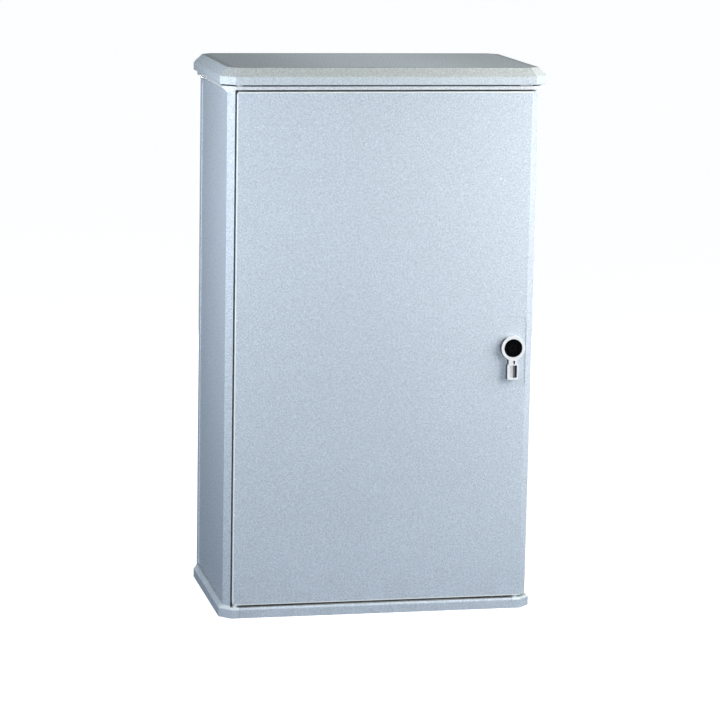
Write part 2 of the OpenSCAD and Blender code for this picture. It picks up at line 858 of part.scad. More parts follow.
module door_shell(inset, y_front, y_back) {
    slope_w = post_chamfer - inset * (sqrt(2) - 1) * sqrt(2);
    intersection() {
        slab_y(y_front, y_back) round_rect([door_left + inset, door_bottom + inset],
            [door_right - inset, door_top - inset], max(door_r - inset, 1));
        layer(door_bottom, door_top) polygon([[door_left + inset, y_front],
            [door_right - inset - slope_w, y_front], [door_right - inset, y_front + slope_w],
            [door_right - inset, y_back], [door_left + inset, y_back]]);
    }
}

module at_case_screws() {
    for (dx = [-case_screw_x, case_screw_x], dz = [-case_screw_z, case_screw_z])
        translate([lock_x + dx, 0, lock_z + dz]) children();
}

function upper_guides() = [lock_z + guide_reach, door_top - guide_end];
function lower_guides() = [lock_z - guide_reach, door_bottom + guide_end];

module at_guides() {
    for (z = upper_guides())
        translate([upper_x, 0, z]) children();
    for (z = lower_guides())
        translate([lower_x, 0, z]) children();
}

module at_guide_screws() {
    at_guides() for (dx = [-guide_screw_x, guide_screw_x])
        translate([dx, 0, 0]) children();
}

module door_ribs() {
    left = lip_left + rib_in;
    right = lip_right - rib_in;
    low = lip_bottom + rib_in;
    high = lip_top - rib_in;
    for (k = [0 : 3])
        translate([left + k * (right - left - rib_t) / 3, skin_in - slice, low])
            cube([rib_t, rib_h + slice, high - low]);
    for (k = [0 : 5])
        translate([left, skin_in - slice, low + k * (high - low - rib_t) / 5])
            cube([right - left, rib_h + slice, rib_t]);
}

module hinge_corner(z_low) {
    box([door_left + door_t - slice, skin_in - slice, z_low],
        [door_left + hinge_block, front_y + hinge_block, z_low + hinge_block_h]);
    box([door_left + hinge_skin, front_y + hinge_skin, z_low + door_r],
        [door_left + door_t, front_y + door_t, z_low + hinge_block_h - door_r]);
}

module door() {
    well_room = well_t + fit;
    color(grey) difference() {
        union() {
            difference() {
                door_shell(0, front_y, door_back);
                door_shell(door_t, skin_in, door_back + over);
            }
            door_ribs();
            hinge_corner(door_bottom + door_t - slice);
            hinge_corner(door_top - door_t - hinge_block_h + slice);
            at_case_screws() rod_along_y(0, 0, skin_in - slice, case_front, case_post_d);
            at_guides() box([-guide_w / 2, skin_in - slice, -guide_h / 2],
                [guide_w / 2, skin_in + guide_pad, guide_h / 2]);
        }
        slab_y(front_y - over, pad_face) round_rect([lock_x - pad_left, lock_z - pad_down],
            [lock_x + pad_right, lock_z + pad_up], pad_r);
        rod_along_y(lock_x, lock_z, front_y - over, skin_in + over, spigot_d + fit);
        box([lock_x + well_left - well_room, front_y - over, lock_z + well_bottom - well_room],
            [lock_x + well_right + well_room, skin_in + over, lock_z + well_top + well_room]);
        rod_along_z(pivot_x, pivot_y, door_bottom - over, door_bottom + bush_len,
            bush_d + 2 * run);
        rod_along_z(pivot_x, pivot_y, door_top - bush_len, door_top + over, bush_d + 2 * run);
        rod_hole(upper_x, 2 * fit, door_top - door_t - over, door_top + over);
        rod_hole(lower_x, 2 * fit, door_bottom - over, door_bottom + door_t + over);
        at_case_screws() rod_along_y(0, 0, case_front - case_screw_bite - over, case_front + over,
            case_screw_d + 2 * run);
        at_guide_screws() rod_along_y(0, 0, skin_in + guide_pad - guide_screw_bite - over,
            skin_in + guide_pad + over, guide_screw_d + 2 * run);
    }
}

// Rubber seal on the door's inner face, in line with the frame's lip
module door_seal() {
    out = (seal_w - lip_t) / 2;
    color(rubber) slab_y(skin_in, lip_front - fit) difference() {
        round_rect([lip_left - out, lip_bottom - out], [lip_right + out, lip_top + out], seal_w);
        translate([lip_left + lip_t + out, lip_bottom + lip_t + out])
            square([lip_right - lip_left - 2 * lip_t - 2 * out,
                lip_top - lip_bottom - 2 * lip_t - 2 * out]);
    }
}

module pivot_bush(z) {
    color("white") difference() {
        rod_along_z(pivot_x, pivot_y, z, z + bush_len, bush_d);
        rod_along_z(pivot_x, pivot_y, z - over, z + bush_len + over, pin_d + 2 * run);
    }
}

module lower_pivot_bush() { pivot_bush(door_bottom); }
module upper_pivot_bush() { pivot_bush(door_top - bush_len); }

// ---- Lock ----

// Ring round the knob, with a small sealing well below it whose right half is deep
module lock_ring() {
    color(grey) difference() {
        union() {
            rod_along_y(lock_x, lock_z, ring_front, pad_face, ring_d);
            rod_along_y(lock_x, lock_z, pad_face - slice, case_front, spigot_d);
            box([lock_x - neck_w / 2, ring_front, lock_z + tail_top - 4],
                [lock_x + neck_w / 2, pad_face, lock_z]);
            slab_y(ring_front, pad_face) round_rect([lock_x - tail_w / 2, lock_z + tail_bottom],
                [lock_x + tail_w / 2, lock_z + tail_top], 2);
            box([lock_x + well_left - well_t, pad_face - slice, lock_z + well_bottom - well_t],
                [lock_x + well_right + well_t, well_floor + well_t, lock_z + well_top + well_t]);
        }
        rod_along_y(lock_x, lock_z, ring_front - over, case_front + over, ring_bore);
        slab_y(ring_front - over, ring_front + well_step_depth) round_rect(
            [lock_x + well_left, lock_z + well_bottom], [lock_x + well_right, lock_z + well_top], 1);
        slab_y(ring_front - over, well_floor) round_rect(
            [lock_x + well_step, lock_z + well_bottom], [lock_x + well_right, lock_z + well_top], 1);
        slab_y(ring_front - over, ring_front + slit_depth) round_rect(
            [lock_x + slit_x - slit_w / 2, lock_z + slit_bottom],
            [lock_x + slit_x + slit_w / 2, lock_z + slit_top], slit_w / 2 - slice);
    }
}

module lock_knob() {
    color(black) difference() {
        union() {
            rod_along_y(lock_x, lock_z, knob_front, knob_back, knob_d);
            rod_along_y(lock_x, lock_z, knob_back - slice, case_front + case_t, hub_d);
        }
        rod_along_y(lock_x, lock_z, knob_front - over, key_back, key_d + 2 * run);
        slab_y(knob_back, case_front + case_t + over) translate([lock_x, lock_z])
            square(square_w + 2 * run, center = true);
    }
}

module key_barrel() {
    color(black) difference() {
        rod_along_y(lock_x, lock_z, key_front, key_back, key_d);
        slab_y(key_front - over, key_front + key_slot_depth) translate([lock_x, lock_z])
            square([key_slot_w, key_slot_h], center = true);
    }
}

module lock_spindle() {
    color(steel) {
        slab_y(knob_back, case_back) translate([lock_x, lock_z])
            square(square_w, center = true);
        rod_along_y(lock_x, lock_z, case_back - slice, case_back + case_t, square_w);
    }
}

// Tooth that points along +X, its pitch point at x = 0
module tooth() {
    w = tooth_pitch;
    polygon([[-tooth_in - 0.5, -0.27 * w], [-tooth_in, -0.26 * w], [0, -0.21 * w],
        [tooth_out, -0.11 * w], [tooth_out, 0.11 * w], [0, 0.21 * w], [-tooth_in, 0.26 * w],
        [-tooth_in - 0.5, 0.27 * w]]);
}

module lock_pinion() {
    half = pinion_t / 2;
    color(steel) slab_y(rod_y - half, rod_y + half) translate([lock_x, lock_z]) difference() {
        union() {
            circle(r = pinion_r - tooth_in);
            for (k = [0 : pinion_teeth - 1])
                rotate(k * 360 / pinion_teeth) translate([pinion_r, 0]) tooth();
        }
        square(square_w + 2 * run, center = true);
    }
}

// Flat rod with a rack at its inner end. It points up, and its rack faces -X.
module rod_profile(length) {
    translate([tooth_in - rod_w / 2, -rack_back])
        square([rod_w - tooth_in, length + rack_back]);
    translate([-rod_w / 2, rack_front]) square([rod_w, length - rack_front]);
    for (k = [-5 : 1])
        translate([-rod_w / 2, (k + 0.5) * tooth_pitch]) rotate(180) tooth();
}

module upper_rod() {
    color(steel) slab_y(rod_y - rod_t / 2, rod_y + rod_t / 2) translate([upper_x, lock_z])
        rod_profile(upper_tip - tip_len - lock_z);
}

module lower_rod() {
    color(steel) slab_y(rod_y - rod_t / 2, rod_y + rod_t / 2) translate([lower_x, lock_z])
        rotate(180) rod_profile(lock_z - lower_tip - tip_len);
}

// Moulded end piece that slides into the keeper
module rod_tip(x, z_low, z_high) {
    color(black) box([x - rod_w / 2, rod_y - rod_t / 2, z_low],
        [x + rod_w / 2, rod_y + rod_t / 2, z_high]);
}

module upper_rod_tip() { rod_tip(upper_x, upper_tip - tip_len, upper_tip); }
module lower_rod_tip() { rod_tip(lower_x, lower_tip, lower_tip + tip_len); }

module lock_case() {
    color(steel) difference() {
        box([lock_x - case_w / 2, case_front, lock_z - case_h / 2],
            [lock_x + case_w / 2, case_back, lock_z + case_h / 2]);
        difference() {
            box([lock_x - case_w / 2 + case_t, case_front + case_t, lock_z - case_h / 2 + case_t],
                [lock_x + case_w / 2 - case_t, case_back + over, lock_z + case_h / 2 - case_t]);
            at_case_screws() rod_along_y(0, 0, case_front, case_back, case_post_d);
        }
        rod_along_y(lock_x, lock_z, case_front - over, case_front + case_t + over,
            hub_d + 2 * run);
        at_case_screws() rod_along_y(0, 0, case_front - over, case_back + over,
            case_screw_d + fit);
        rod_hole(upper_x, fit, lock_z + case_h / 2 - case_t - over, lock_z + case_h / 2 + over);
        rod_hole(lower_x, fit, lock_z - case_h / 2 - over, lock_z - case_h / 2 + case_t + over);
    }
}

module lock_cover() {
    color(steel) difference() {
        slab_y(case_back, case_back + case_t) translate([lock_x, lock_z])
            square([case_w, case_h], center = true);
        rod_along_y(lock_x, lock_z, case_back - over, case_back + case_t + over,
            square_w + 2 * run);
        at_case_screws() rod_along_y(0, 0, case_back - over, case_back + case_t + over,
            case_screw_d + fit);
    }
}

module lock_screws() {
    color(steel) at_case_screws() translate([0, case_back + case_t, 0]) rotate([-90, 0, 0])
        pan_screw(case_screw_d, case_back + case_t - case_front + case_screw_bite, case_head_d);
}

module rod_guide() {
    low = skin_in + guide_pad;
    difference() {
        union() {
            box([-guide_w / 2, low, -guide_h / 2],
                [guide_w / 2, low + guide_strap, guide_h / 2]);
            box([-rod_w / 2 - guide_gap - guide_strap, low, -guide_h / 2],
                [rod_w / 2 + guide_gap + guide_strap, rod_y + rod_t / 2 + guide_gap + guide_roof,
                    guide_h / 2]);
        }
        box([-rod_w / 2 - guide_gap, rod_y - rod_t / 2 - guide_gap, -guide_h],
            [rod_w / 2 + guide_gap, rod_y + rod_t / 2 + guide_gap, guide_h]);
        for (dx = [-guide_screw_x, guide_screw_x])
            rod_along_y(dx, 0, low - over, low + guide_strap + over, guide_screw_d + fit);
    }
}

module upper_rod_guides() {
    color(black) for (z = upper_guides())
        translate([upper_x, 0, z]) rod_guide();
}

module lower_rod_guides() {
    color(black) for (z = lower_guides())
        translate([lower_x, 0, z]) rod_guide();
}

module rod_guide_screws() {
    color(steel) at_guide_screws() translate([0, skin_in + guide_pad + guide_strap, 0])
        rotate([-90, 0, 0]) pan_screw(guide_screw_d, guide_strap + guide_screw_bite, guide_head_d);
}

base_frame();
corner_block_front_left();
corner_block_front_right();
corner_block_rear_left();
corner_block_rear_right();
corner_block_screws();
floor_plate();
floor_plate_screws();
cable_grommets();
left_side_panel();
right_side_panel();
rear_panel();
wall_screws();
rear_corner_screws();
door_frame();
door_frame_screws();
top_frame();
roof();
roof_screws();
mounting_plate();
mounting_plate_screws();
lower_pivot_pin();
upper_pivot_pin();
lower_rod_keeper();
upper_rod_keeper();
keeper_screws();
door();
door_seal();
lower_pivot_bush();
upper_pivot_bush();
lock_ring();
lock_case();
lock_cover();
lock_screws();
upper_rod_guides();
lower_rod_guides();
rod_guide_screws();
lock_knob();
lock_spindle();
lock_pinion();
key_barrel();
upper_rod();
upper_rod_tip();
lower_rod();
lower_rod_tip();
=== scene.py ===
import math

import bmesh
import bpy
from mathutils import Matrix, Vector


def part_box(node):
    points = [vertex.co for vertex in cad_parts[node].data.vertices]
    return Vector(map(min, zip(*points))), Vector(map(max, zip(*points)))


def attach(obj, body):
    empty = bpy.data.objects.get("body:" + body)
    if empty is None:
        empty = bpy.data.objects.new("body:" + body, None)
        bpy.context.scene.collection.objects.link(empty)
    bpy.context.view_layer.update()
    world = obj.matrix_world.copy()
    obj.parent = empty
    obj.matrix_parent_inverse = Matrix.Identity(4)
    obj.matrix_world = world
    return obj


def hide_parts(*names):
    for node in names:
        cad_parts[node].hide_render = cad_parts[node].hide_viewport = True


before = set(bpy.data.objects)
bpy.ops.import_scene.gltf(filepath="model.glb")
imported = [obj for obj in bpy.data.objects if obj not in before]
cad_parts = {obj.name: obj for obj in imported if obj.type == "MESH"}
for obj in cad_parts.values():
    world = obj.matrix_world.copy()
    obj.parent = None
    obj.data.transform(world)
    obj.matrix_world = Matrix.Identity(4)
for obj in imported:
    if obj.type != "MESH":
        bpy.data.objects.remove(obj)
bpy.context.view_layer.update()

# Roadside utility cabinet: moulded glass-fibre shell with one door, a round lock and its bolt work.
# Metres. The origin is on the ground in the middle of the footprint, and the door faces -Y.

bpy.ops.object.select_all(action="DESELECT")

# ---- Sizes and places, taken from the fixed frame ----

door_low, door_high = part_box("door")
roof_low, roof_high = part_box("roof")
ring_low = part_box("lock_ring")[0]
knob_low, knob_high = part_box("lock_knob")
barrel_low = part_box("key_barrel")[0]
FRONT = door_low.y
LOCK_X = (knob_low.x + knob_high.x) / 2
LOCK_Z = (knob_low.z + knob_high.z) / 2

ROOF_DECK = (0.2555, 0.1435)   # half width and half depth of the roof's flat top

# Half width and half depth beyond which each moulding's outer edges lie
COLLAR_RIM = (0.256, 0.143)
BASE_RIM = (0.2555, 0.1435)
CORNER_RIM = (0.2305, 0.1185)
SIDE_WALL_OUT = 0.2435
REAR_WALL_OUT = 0.1405

ROOF_SLOPE = 0.0145            # how far the roof's slopes and cut corners reach in from its edge
ROOF_CORNER = 0.045
GROUND_FACE = 0.001            # edges lower than this stand on the ground and stay sharp
CORNER_GROUND_FACE = 0.0005
SHORTEST_EDGE = 0.002          # shorter edges, at the ends of a rounding, are left alone
SHORTEST_PAD_EDGE = 0.0004
CORNER_TOP = 0.0150            # where the front corner blocks' painted highlight on the upper edge starts

DOOR_BEVEL = 0.0062            # width of the door's bevels, and of the wider one beside the lock
DOOR_LOCK_BEVEL = 0.0125
LOCK_PAD_HALF_W = 0.026        # the raised pad round the lock
LOCK_PAD_HALF_H = 0.070
LOCK_STRIP = 0.040             # the door's face is split here, round the lock
LOCK_STRIP_BELOW = 0.080
LOCK_STRIP_ABOVE = 0.065
FACES_FRONT = -0.999
DOOR_FACE_AREA = 0.2           # only the whole door face is larger, in square metres
STRIP_FACE_AREA = 0.004

SAME_POINT = 0.000005          # corners closer than this are one corner
SAME_LEVEL = 0.0001            # a point this near a face lies in it
FLAT_ANGLE = math.radians(0.3)


# ---- Making and finishing pieces ----

def only(piece):
    bpy.ops.object.select_all(action="DESELECT")
    piece.select_set(True)
    bpy.context.view_layer.objects.active = piece


def edit(piece, mode):
    only(piece)
    bpy.ops.object.mode_set(mode="EDIT")
    bpy.ops.mesh.select_mode(type=mode)
    bpy.ops.mesh.select_all(action="DESELECT")
    return bmesh.from_edit_mesh(piece.data)


def object_mode():
    bpy.ops.object.mode_set(mode="OBJECT")


def end_edit():
    bpy.ops.mesh.select_all(action="DESELECT")
    object_mode()


def pick_edges(piece, shape, wanted):
    """Selects the edges that wanted(edge) says, and returns how many."""
    chosen = 0
    for e in shape.edges:
        if wanted(e):
            e.select_set(True)
            chosen += 1
    shape.select_flush_mode()
    bmesh.update_edit_mesh(piece.data)
    return chosen


def pick_faces(piece, shape, wanted):
    for face in shape.faces:
        face.select_set(wanted(face))
    bmesh.update_edit_mesh(piece.data)


def merged_copy(node, name):
    """A new piece with the node's shape, its triangles joined into flat faces."""
    piece = bpy.data.objects.new(name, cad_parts[node].data.copy())
    bpy.context.scene.collection.objects.link(piece)
    piece.data.materials.clear()
    only(piece)
    bpy.ops.object.mode_set(mode="EDIT")
    bpy.ops.mesh.select_all(action="SELECT")
    bpy.ops.mesh.remove_doubles(threshold=SAME_POINT)
    bpy.ops.mesh.customdata_custom_splitnormals_clear()
    bpy.ops.mesh.dissolve_limited(angle_limit=FLAT_ANGLE)
    end_edit()
    return piece


def round_edges(piece, width, segments, wanted, least_turn=14):
    """Rounds the outward edges that wanted(middle, edge) picks, if they turn least_turn degrees."""
    least_angle = math.radians(least_turn)

    def outward(e):
        if len(e.link_faces) != 2 or not e.is_convex or e.calc_face_angle(0) < least_angle:
            return False
        return wanted((e.verts[0].co + e.verts[1].co) / 2, e)

    if pick_edges(piece, edit(piece, "EDGE"), outward):
        bpy.ops.mesh.bevel(offset=width, segments=segments, profile=0.5, affect="EDGES",
                           clamp_overlap=True, miter_outer="SHARP")
    end_edit()


def cut_faces(piece, wanted, place, normal):
    """Splits the flat faces that wanted(face) picks, so that no long thin triangle crosses them."""
    pick_faces(piece, edit(piece, "FACE"), wanted)
    bpy.ops.mesh.bisect(plane_co=place, plane_no=normal)
    end_edit()


def finish_piece(piece, body, material, slot, *stands_for, smooth=34):
    piece.data.materials.clear()
    piece.data.materials.append(material)
    only(piece)
    bpy.ops.object.shade_smooth_by_angle(angle=math.radians(smooth))
    weighted = piece.modifiers.new("even faces", "WEIGHTED_NORMAL")
    weighted.keep_sharp = True
    weighted.weight = 80
    bpy.ops.object.modifier_apply(modifier=weighted.name)
    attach(piece, body)
    if stands_for:
        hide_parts(*stands_for)
    return piece


# ---- Finishes ----

def darker(tone, share):
    return tuple(c * share for c in tone)


def paler(tone, share, most=1):
    return tuple(min(most, c * share) for c in tone)


class Finish:
    """A node tree with a Principled shader, built from Object coordinates."""

    def __init__(self, name):
        self.material = bpy.data.materials.new(name)
        self.material.use_nodes = True
        self.tree = self.material.node_tree
        self.shader = self.tree.nodes["Principled BSDF"]
        coordinates = self.add("ShaderNodeTexCoord")
        self.place = coordinates.outputs["Object"]
        self.facing = coordinates.outputs["Normal"]
        self.flat = self.add("ShaderNodeNewGeometry").outputs["True Normal"]

    def add(self, kind, **settings):
        made = self.tree.nodes.new(kind)
        for key, value in settings.items():
            setattr(made, key, value)
        return made

    def link(self, a, b):
        self.tree.links.new(a, b)

    def fill(self, socket, value):
        """Puts a number, a colour or another node's result into a socket."""
        if isinstance(value, (int, float)):
            socket.default_value = value
        elif isinstance(value, tuple):
            socket.default_value = (*value, 1)
        else:
            self.link(value, socket)

    def set(self, **numbers):
        """Sets the shader's own sockets: coat_weight is its Coat Weight."""
        for key, number in numbers.items():
            name = "Specular IOR Level" if key == "specular" else key.replace("_", " ").title()
            self.shader.inputs[name].default_value = number

    def stretched(self, scale):
        mapping = self.add("ShaderNodeMapping")
        mapping.inputs["Scale"].default_value = scale
        self.link(self.place, mapping.inputs["Vector"])
        return mapping.outputs["Vector"]

    def noise(self, scale, detail=4, roughness=0.5, vector=None):
        made = self.add("ShaderNodeTexNoise")
        made.inputs["Scale"].default_value = scale
        made.inputs["Detail"].default_value = detail
        made.inputs["Roughness"].default_value = roughness
        self.link(vector or self.place, made.inputs["Vector"])
        return made.outputs["Fac"]

    def ramp(self, value, low, high, low_out=0.0, high_out=1.0):
        """A smooth step from low_out, at low, to high_out, at high."""
        made = self.add("ShaderNodeMapRange", interpolation_type="SMOOTHSTEP")
        for key, number in zip(("From Min", "From Max", "To Min", "To Max"),
                               (low, high, low_out, high_out)):
            made.inputs[key].default_value = number
        self.link(value, made.inputs["Value"])
        return made.outputs["Result"]

    def maths(self, operation, a, b):
        made = self.add("ShaderNodeMath", operation=operation)
        self.fill(made.inputs[0], a)
        self.fill(made.inputs[1], b)
        return made.outputs["Value"]

    def times(self, a, b):
        return self.maths("MULTIPLY", a, b)

    def least(self, a, b):
        return self.maths("MINIMUM", a, b)

    def within(self, limit, axis):
        """How far inside plus and minus limit a point is."""
        return self.maths("SUBTRACT", limit, self.maths("ABSOLUTE", axis, 0))

    def ragged(self, value, grain, amount):
        """A distance made uneven, so that the border drawn from it wanders."""
        return self.maths("ADD", value, self.times(self.noise(*grain), amount))

    def mix(self, amount, a, b, blend="MIX"):
        made = self.add("ShaderNodeMix", data_type="RGBA", blend_type=blend)
        for socket, value in ((made.inputs[0], amount), (made.inputs[6], a), (made.inputs[7], b)):
            self.fill(socket, value)
        return made.outputs[2]

    def split(self, vector):
        made = self.add("ShaderNodeSeparateXYZ")
        self.link(vector, made.inputs[0])
        return made.outputs

    def spot(self, centre, radius, stretch=(1, 1, 1)):
        """One inside a small ragged patch round the centre, and nought outside it."""
        apart = self.add("ShaderNodeVectorMath", operation="SUBTRACT")
        self.link(self.place, apart.inputs[0])
        apart.inputs[1].default_value = centre
        scaled = self.add("ShaderNodeVectorMath", operation="MULTIPLY")
        self.link(apart.outputs[0], scaled.inputs[0])
        scaled.inputs[1].default_value = stretch
        length = self.add("ShaderNodeVectorMath", operation="LENGTH")
        self.link(scaled.outputs[0], length.inputs[0])
        border = self.ragged(length.outputs["Value"], CHIP_BORDER, radius * 0.9)
        return self.ramp(border, radius * 1.1, radius * 1.5, 1, 0)

    def bump(self, *layers):
        """Layers are (height, distance in metres, strength), the finest last."""
        normal = None
        for height, distance, strength in layers:
            made = self.add("ShaderNodeBump")
            made.inputs["Distance"].default_value = distance
            made.inputs["Strength"].default_value = strength
            self.link(height, made.inputs["Height"])
            if normal:
                self.link(normal, made.inputs["Normal"])
            normal = made.outputs["Normal"]
        self.link(normal, self.shader.inputs["Normal"])

    def colour(self, value):
        self.link(value, self.shader.inputs["Base Color"])

    def rough(self, value, low, high):
        self.link(self.ramp(value, 0.3, 0.7, low, high), self.shader.inputs["Roughness"])


# Small chips in the door's surface: (x, z), radius, and a share below 1 for axes they run along
CHIPS = [((-0.2398, 0.4939), 0.0011, (1, 1, 0.45)), ((-0.2396, 0.2324), 0.0013, (1, 1, 0.8)),
         ((-0.2405, 0.1721), 0.0018, (1, 1, 0.5)), ((-0.2306, 0.1778), 0.0010, (1, 1, 1)),
         ((-0.2412, 0.0771), 0.0014, (1, 1, 0.5)), ((-0.2231, 0.7768), 0.0009, (1, 1, 0.7)),
         ((0.1940, 0.7195), 0.0012, (0.6, 1, 1)), ((0.2010, 0.7160), 0.0009, (0.5, 1, 1)),
         ((0.0104, 0.8314), 0.0008, (1, 1, 1))]

# Grains: noise scale, detail and roughness, which is one half where it isn't given
CLOUD = (3.2, 5, 0.6)
SPECKLE = (330, 5, 0.8)
FLECK = (700, 4, 0.75)
RAIN_RUNS = (1.0, 4, 0.6)
MUD_SPECKS = (38, 5, 0.7)
SHELL_WAVES = (9, 3, 0.5)
SHELL_PORES = (300, 3, 0.6)
SHELL_GRAIN = (900, 2, 0.6)
KNOB_GRAIN = (1400, 3, 0.6)
KNOB_WEAR = (160, 4, 0.6)
LOCK_GRAIN = (900, 3, 0.6)
# The next grain breaks up the painted shade on the lock moulding's hinge-side walls.
LOCK_SHADE_BREAKUP = (260, 4, 0.6)
NYLON_CLOUD = (90, 4)
NYLON_SHEEN = (600, 2)
NYLON_GRAIN = (900, 2)
RUBBER_BLOOM = (70, 5, 0.7)
RUBBER_GRAIN = (800, 3)
STEEL_STAIN = (26, 5, 0.6)
CHIP_BORDER = (700, 2, 0.5)
TOP_HIGHLIGHT_BORDER = (140, 4, 0.6)
WORN_HIGHLIT_RIM_BORDER = (120, 4, 0.6)

# The shell's colours
SHELL = (0.560, 0.640, 0.725)
DUST_AND_SHADE = (0.430, 0.450, 0.450)
FRONT_SLOPE_TINT = (0.90, 0.86, 0.775)         # a darker, warmer tint on the roof's forward-facing slope, multiplied in
GRIT = (0.74, 0.74, 0.74)
MUD = (0.27, 0.28, 0.29)
CHIPPED = (0.92, 0.93, 0.93)
PALEST = 0.94
FLECK_STRETCH = (1, 0.4, 1)        # resin flecks run along the depth
RUN_STRETCH = (46, 46, 2.2)        # rain runs downwards
SPLASH_HEIGHT = 0.10               # mud splashes reach this high


def front_slope_tint(f, tone, upward):
    # A darker, warmer tint multiplied onto the slopes that face forward.
    forward = f.ramp(f.times(f.split(f.flat)[1], -1), 0.15, 0.60)
    slope = f.times(f.ramp(upward, 0.30, 0.60), forward)
    return f.mix(slope, tone, FRONT_SLOPE_TINT, "MULTIPLY")


def dust_and_painted_light(f, tone, upward, cloud, speckle, upward_tone):
    """Gritty dust on what faces up, its tone also painted light and shade for how those faces are
    lit, and painted shade towards the ends.
    """
    dust = f.times(f.ramp(upward, 0.78, 0.97), f.ramp(cloud, 0.2, 0.7, 0.8, 1.0))
    across = f.maths("ABSOLUTE", f.split(f.place)[0], 0)
    # Painted shade: upward faces darken towards the ends, where less light falls.
    dust_with_painted_end_shade = f.mix(f.ramp(across, 0.03, 0.24), upward_tone, darker(upward_tone, 0.70))
    grit = f.mix(f.ramp(speckle, 0.42, 0.58), (1, 1, 1), GRIT)
    return f.mix(dust, tone, f.mix(1.0, dust_with_painted_end_shade, grit, "MULTIPLY"))


def deck_edge_band(f, tone, upward, deck, upward_tone):
    # A darker band along the edge of the roof's flat top, on what faces up.
    x, y, _ = f.split(f.place)
    inwards = f.least(f.within(deck[0], x), f.within(deck[1], y))
    edge_band = f.times(f.ramp(inwards, 0.004, 0.016, 0.6, 0.0), f.ramp(upward, 0.90, 0.97))
    return f.mix(edge_band, tone, darker(upward_tone, 0.35))


def painted_top_highlight(f, tone, start, base):
    # Painted highlight: above start the moulding is painted paler, as its lit upper edge.
    border = f.ragged(f.split(f.place)[2], TOP_HIGHLIGHT_BORDER, 0.0010)
    return f.mix(f.ramp(border, start, start + 0.0008, 0.0, 0.5), tone, paler(base, 1.5, PALEST))


def mud_splash(f, tone):
    low_down = f.ramp(f.split(f.place)[2], 0.0, SPLASH_HEIGHT, 0.16, 0.0)
    return f.mix(f.times(low_down, f.ramp(f.noise(*MUD_SPECKS), 0.35, 0.7)), tone, MUD)


def worn_and_highlit_rim(f, tone, rim, base):
    """Pale edge wear and painted highlight along the door's left, bottom and top edges, on its
    front face.
    """
    left, bottom, top = rim
    x, y, z = f.split(f.place)
    inwards = f.least(f.maths("SUBTRACT", x, left),
                      f.least(f.maths("SUBTRACT", z, bottom), f.maths("SUBTRACT", top, z)))
    edge = f.ramp(f.ragged(inwards, WORN_HIGHLIT_RIM_BORDER, 0.0012), 0.0018, 0.0032, 0.95, 0.0)
    in_front = f.ramp(y, FRONT + 0.0008, FRONT + 0.0016, 1, 0)
    return f.mix(f.times(edge, in_front), tone, paler(base, 1.6, PALEST))


def moulded_shell(name, base, upward_tone, chips=(), worn_highlit_rim=None, deck=None, highlight_above=None):
    """Grey-blue glass-fibre moulding: faint cloudiness, fine resin speckle, dust and painted light
    on what faces up.

    deck is the half width and half depth of the roof's flat top, which has a darker band along its
    edge and a darker, warmer tint on the slope before it.
    worn_highlit_rim is the left, bottom and top of a door whose edge is painted pale: edge wear and
    a painted highlight.
    highlight_above is a height from which the moulding is painted pale, a painted highlight on its
    upper edge.
    """
    f = Finish(name)
    cloud = f.noise(*CLOUD)
    fibres = f.stretched(FLECK_STRETCH)
    speckle = f.noise(*SPECKLE, fibres)
    fleck = f.noise(*FLECK, fibres)
    runs = f.noise(*RAIN_RUNS, f.stretched(RUN_STRETCH))
    dull = darker(base, 0.96)
    tone = f.mix(f.ramp(cloud, 0.35, 0.65), dull, paler(base, 1.02))
    tone = f.mix(f.ramp(speckle, 0.44, 0.58, 0.0, 0.90), tone, darker(base, 0.76))
    tone = f.mix(f.ramp(fleck, 0.50, 0.60, 0.0, 0.85), tone, paler(base, 1.32))
    tone = f.mix(f.ramp(runs, 0.55, 0.8, 0.0, 0.10), tone, dull)
    upward = f.split(f.flat)[2]
    if deck:
        tone = front_slope_tint(f, tone, upward)
    tone = dust_and_painted_light(f, tone, upward, cloud, speckle, upward_tone)
    if deck:
        tone = deck_edge_band(f, tone, upward, deck, upward_tone)
    if highlight_above:
        tone = painted_top_highlight(f, tone, highlight_above, base)
    tone = mud_splash(f, tone)
    if worn_highlit_rim:
        tone = worn_and_highlit_rim(f, tone, worn_highlit_rim, base)
    for (x, z), radius, stretch in chips:
        tone = f.mix(f.spot((x, FRONT, z), radius, stretch), tone, CHIPPED)
    f.colour(tone)
    f.rough(speckle, 0.40, 0.56)
    f.set(specular=0.5, coat_weight=0.10, coat_roughness=0.34)
    f.bump((f.noise(*SHELL_WAVES), 0.0016, 0.10), (f.noise(*SHELL_PORES), 0.0003, 0.22),
           (f.noise(*SHELL_GRAIN), 0.0001, 0.25))
    return f.material


def black_moulding(name, tone=(0.0018, 0.002, 0.0026)):
    f = Finish(name)
    grain = f.noise(*KNOB_GRAIN)
    wear = f.noise(*KNOB_WEAR)
    f.colour(f.mix(f.ramp(wear, 0.5, 0.8, 0.0, 0.4), tone, paler(tone, 2.6)))
    f.rough(grain, 0.50, 0.66)
    f.set(specular=0.02)
    f.bump((grain, 0.00008, 0.3))
    return f.material


